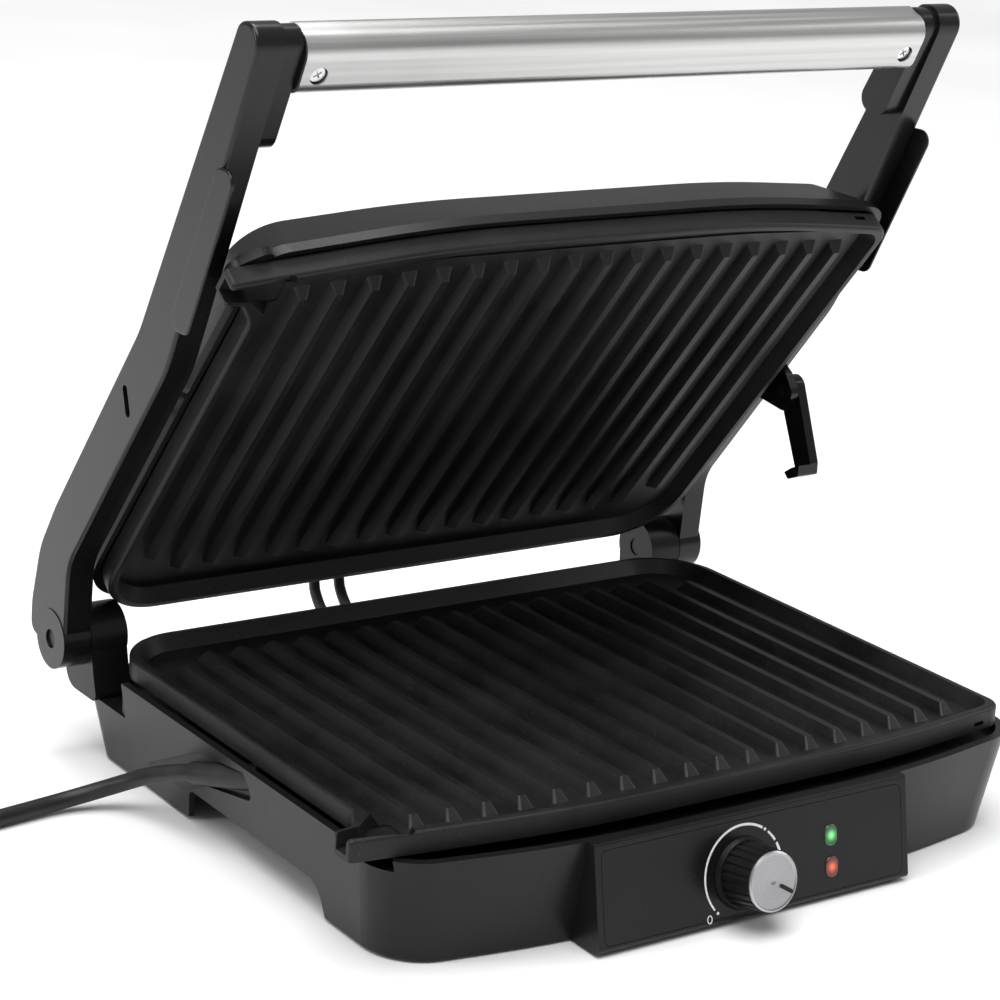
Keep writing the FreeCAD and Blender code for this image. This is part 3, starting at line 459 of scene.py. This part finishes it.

# %% [markdown]
# ## Non-stick coating
# The grill plates are cast aluminium under a sprayed non-stick coat. The coat is dark grey, nearly matt,
# with the orange-peel ripple of a sprayed film. A painted highlight makes it lighter along the tops of the
# ribs and the rim, and cooking leaves faint darker clouds, so those are three separate masks.

# %% Coating
coating = Finish("grill_coating_finish")
clouds = coating.noise(26.0, 4.0, 0.6)
peel = coating.noise(950.0, 2.0, 0.5)
film = coating.noise(2600.0, 1.0, 0.5)
flecks = coating.between(coating.noise(1500.0, 0.0, 0.5), 0.74, 0.80)
coat_colour = coating.blend(coating.between(clouds, 0.35, 0.68), (0.0052, 0.0052, 0.0055, 1),
                            (0.0115, 0.0115, 0.012, 1))
coat_colour = coating.blend(flecks * 0.22, coat_colour, (0.12, 0.12, 0.12, 1))
# Painted highlight: the coat turns lighter grey along rib tops and the rim, where the light catches.
coat_colour = coating.blend(coating.edges(0.0007) * 0.10, coat_colour, (0.06, 0.06, 0.06, 1))
coating_rough = coating.between(clouds, 0.3, 0.7, 0.36, 0.50) + peel * 0.05
coating.surface(Base_Color=coat_colour, Roughness=coating_rough,
                Normal=coating.bump(peel * 0.7 + film * 0.3, 0.35, 0.00012), IOR=1.45,
                Specular_IOR_Level=0.34)

# %% [markdown]
# ## Brushed steel
# The handle is a stainless tube, brushed along its length. Noise drawn out a hundred times along X makes
# the hair lines. They change the roughness and a slight bump, and a slow cloud adds finger marks.

# %% Metals
def brushed(name, tone, stretch, rough_low, rough_high, strength, scale=260.0):
    made = Finish(name)
    along = made.place(stretch)
    hair = made.noise(scale, 3.0, 0.65, along)
    coarse = made.noise(scale / 3, 2.0, 0.5, along)
    smears = made.noise(14.0, 3.0, 0.5)
    lines = hair * 0.65 + coarse * 0.35
    dark = tuple(c * 0.80 for c in tone) + (1,)
    light = tuple(min(1.0, c * 1.12) for c in tone) + (1,)
    base = made.blend(made.between(lines, 0.35, 0.65), dark, light)
    rough = made.between(lines, 0.3, 0.7, rough_low, rough_high) + made.between(smears, 0.55, 0.75) * 0.06
    return made.surface(Base_Color=base, Metallic=1.0, Roughness=rough,
                        Normal=made.bump(lines, strength, 0.00004))


tube_steel = brushed("tube_steel", (0.56, 0.555, 0.55), (0.012, 1.0, 1.0), 0.25, 0.42, 0.5)
plated_steel = brushed("plated_steel", (0.70, 0.70, 0.71), (1.0, 1.0, 1.0), 0.12, 0.28, 0.3, 300.0)
reflector_metal = brushed("reflector_metal", (0.66, 0.67, 0.68), (1.0, 0.05, 1.0), 0.28, 0.45, 0.3)
dark_steel = brushed("dark_steel", (0.035, 0.035, 0.037), (1.0, 1.0, 1.0), 0.3, 0.45, 0.3)
pin_brass = brushed("pin_brass", (0.72, 0.55, 0.25), (0.1, 1.0, 1.0), 0.2, 0.32, 0.3)

heater = Finish("heater_tube")
scale_marks = heater.noise(120.0, 4.0, 0.6)
heater.surface(Base_Color=heater.blend(heater.between(scale_marks, 0.35, 0.65), (0.09, 0.075, 0.065, 1),
                                       (0.24, 0.22, 0.20, 1)),
               Metallic=0.85, Roughness=heater.between(scale_marks, 0.3, 0.7, 0.45, 0.7),
               Normal=heater.bump(scale_marks, 0.4, 0.0001))

# %% [markdown]
# ## Knob face
# The knob's face is a metal disc turned on a lathe, so its fine lines are circles round the knob's axis.
# Noise along one line, read at the distance from that axis, gives rings of uneven width, and the rings
# give the sweep of light across them.

# %% Spun disc
spun = Finish("spun_disc")
knob_axis_at = on_panel(KNOB[0], KNOB[1], 0)
from_axis = spun.node("ShaderNodeVectorMath", {"operation": "SUBTRACT"},
                      {0: spun.node("ShaderNodeTexCoord", {}, {}, "Object"), 1: knob_axis_at})
off_axis = spun.node("ShaderNodeVectorMath", {"operation": "CROSS_PRODUCT"}, {0: from_axis, 1: panel_out})
distance = spun.node("ShaderNodeVectorMath", {"operation": "LENGTH"}, {0: off_axis}, "Value")
grooves = spun.node("ShaderNodeTexNoise", {"noise_dimensions": "1D"},
                    {"W": distance, "Scale": 5200.0, "Detail": 2.0})
ring_band = spun.between(grooves, 0.35, 0.65)
spun.surface(Base_Color=spun.blend(ring_band, (0.30, 0.30, 0.31, 1), (0.50, 0.50, 0.51, 1)),
             Metallic=1.0, Roughness=spun.between(grooves, 0.3, 0.7, 0.28, 0.42),
             Normal=spun.bump(grooves, 0.35, 0.00005))

# %% [markdown]
# ## Rubber, lamps and paint
# Rubber is dull and slightly brown-black. The two lamp covers are coloured clear plastic with a light
# behind, brightest in the middle, so the glow is a soft ball of distance round each lamp's centre.

# %% Small finishes
LAMP_ACROSS, LAMP_OUT = 35.5, 0.3
rubber = Finish("cord_and_foot_rubber")
bloom = rubber.noise(70.0, 3.0, 0.6)
skin = rubber.noise(1400.0, 2.0, 0.5)
rubber.surface(Base_Color=rubber.blend(rubber.between(bloom, 0.3, 0.7), (0.010, 0.010, 0.0105, 1),
                                       (0.020, 0.0198, 0.0195, 1)),
               Roughness=rubber.between(bloom, 0.3, 0.7, 0.34, 0.48) + skin * 0.05,
               Normal=rubber.bump(skin, 0.25, 0.00005), Specular_IOR_Level=0.3)


def lamp(name, rise, body, glow, power):
    made = Finish(name)
    spot = made.node("ShaderNodeTexCoord", {}, {}, "Object")
    away = made.node("ShaderNodeVectorMath", {"operation": "DISTANCE"},
                     {0: spot, 1: on_panel(LAMP_ACROSS, rise, LAMP_OUT)}, "Value")
    heart = made.between(away, 0.0030, 0.0004)
    ripple = made.noise(900.0, 1.0, 0.5)
    base = made.blend(heart, tuple(c * 0.12 for c in body) + (1,), tuple(c * 0.5 for c in body) + (1,))
    shine = made.blend(heart ** 1.8, tuple(c * 0.02 for c in glow) + (1,), glow + (1,))
    made.surface(Base_Color=base, Emission_Color=shine, Emission_Strength=power,
                 Roughness=0.10 + ripple * 0.08, Coat_Weight=0.5, Normal=made.bump(ripple, 0.6, 0.0002))
    return made.material


green_lamp = lamp("green_lamp", 4.0, (0.05, 0.55, 0.12), (0.25, 1.0, 0.30), 1.1)
red_lamp = lamp("red_lamp", -8.5, (0.6, 0.05, 0.02), (1.0, 0.16, 0.04), 1.0)

paint = Finish("dial_paint")
worn = paint.noise(700.0, 3.0, 0.6)
paint.surface(Base_Color=paint.blend(paint.between(worn, 0.3, 0.7), (0.62, 0.62, 0.62, 1),
                                     (0.84, 0.84, 0.83, 1)),
              Roughness=paint.between(worn, 0.3, 0.7, 0.4, 0.6), Normal=paint.bump(worn, 0.2, 0.00003))

board = Finish("lamp_board_finish")
weave = board.noise(900.0, 2.0, 0.5, board.place((1, 1, 0.2)))
board.surface(Base_Color=board.blend(board.between(weave, 0.3, 0.7), (0.01, 0.06, 0.025, 1),
                                     (0.02, 0.10, 0.04, 1)),
              Roughness=board.between(weave, 0.3, 0.7, 0.3, 0.5), Normal=board.bump(weave, 0.3, 0.0001))

# %% Give each node its finish
FINISHES = {
    "lower_grill_plate": coating.material, "upper_grill_plate": coating.material,
    "base_housing": housing_black, "upper_housing": housing_black, "base_bottom_cover": cover_black,
    "right_arm": arm_black, "left_arm": arm_black, "lock_lever": arm_black,
    "control_fascia": housing_black, "knob_cap": spun.material, "knob_body": knob_black,
    "left_handle_core": knob_black, "right_handle_core": knob_black, "thermostat": cover_black,
    "terminal_block": cover_black, "ready_lens": green_lamp, "power_lens": red_lamp,
    "lamp_board": board.material, "handle_tube": tube_steel, "lower_heating_element": heater.material,
    "upper_heating_element": heater.material, "lower_reflector": reflector_metal,
    "upper_reflector": reflector_metal, "lower_thermal_cutout": reflector_metal,
    "upper_thermal_cutout": reflector_metal, "plug_pins": pin_brass, "rubber_feet": rubber.material,
    "cord_sleeve": rubber.material, "mains_plug": rubber.material,
    "left_hinge_pin": dark_steel, "right_hinge_pin": dark_steel, "lock_pin": dark_steel,
    mains_cord.name: rubber.material, leads_low.name: rubber.material, leads_high.name: rubber.material,
    dial_marks.name: paint.material, knob_pointer.name: knob_black,
}
named = 0
for thing in bpy.data.objects:
    if thing.type not in ("MESH", "CURVE"):
        continue
    thing.data.materials.clear()
    thing.data.materials.append(FINISHES.get(thing.name, plated_steel))
    named += 1
print("pieces finished:", named)

# %% [markdown]
# ## Floor and light
# A product table is a plain pale sheet. Three large soft lights stand round it: one above, a long one at
# the left that draws the highlights on the arms, and a weaker one at the right. Big lights make soft
# shadows and broad reflections on black plastic. A wide, even light from far above and a pale sky keep the
# table white.

# %% Floor
FLOOR_HALF = 6.0
floor_mesh = bpy.data.meshes.new("table_top")
floor_corners = [(x * FLOOR_HALF, y * FLOOR_HALF, 0) for x, y in ((-1, -1), (1, -1), (1, 1), (-1, 1))]
floor_mesh.from_pydata(floor_corners, [], [(0, 1, 2, 3)])
table_top = bpy.data.objects.new("table_top", floor_mesh)
bpy.context.collection.objects.link(table_top)
sheet = Finish("table_sheet")
pale = sheet.noise(3.0, 2.0, 0.5)
sheet.surface(Base_Color=sheet.blend(pale, (0.86, 0.86, 0.865, 1), (0.89, 0.89, 0.89, 1)),
              Roughness=sheet.between(pale, 0.3, 0.7, 0.32, 0.40))
floor_mesh.materials.append(sheet.material)

# %% Lights
SUN_ENERGY, SUN_SPREAD, SKY = 2.85, math.radians(50), 0.36
SUN_TILT = (math.radians(12), math.radians(-14), 0)


def softbox(name, at, towards, size, power):
    data = bpy.data.lights.new(name, "AREA")
    data.shape = "RECTANGLE"
    data.size, data.size_y = size
    data.energy = power
    thing = bpy.data.objects.new(name, data)
    thing.location = at
    thing.rotation_euler = (Vector(towards) - Vector(at)).to_track_quat("-Z", "Y").to_euler()
    bpy.context.collection.objects.link(thing)


softbox("light_above", (0.1, 0.5, 1.7), (0, 0, 0.1), (1.0, 0.5), 14)
softbox("light_left", (-1.7, 0.4, 0.9), (0, 0, 0.15), (0.35, 1.2), 10)
softbox("light_right", (1.6, -0.5, 0.9), (0, 0, 0.15), (0.35, 1.1), 6)
sun_data = bpy.data.lights.new("even_light", "SUN")
sun_data.energy = SUN_ENERGY
sun_data.angle = SUN_SPREAD
sun = bpy.data.objects.new("even_light", sun_data)
sun.rotation_euler = SUN_TILT
bpy.context.collection.objects.link(sun)
world = bpy.data.worlds.new("studio")
bpy.context.scene.world = world
world.use_nodes = True
world.node_tree.nodes["Background"].inputs["Color"].default_value = (1.0, 1.0, 1.0, 1)
world.node_tree.nodes["Background"].inputs["Strength"].default_value = SKY
bpy.context.scene.view_settings.view_transform = "Standard"
print("lights:", len(bpy.data.lights))

# %% Finish
bpy.context.view_layer.update()
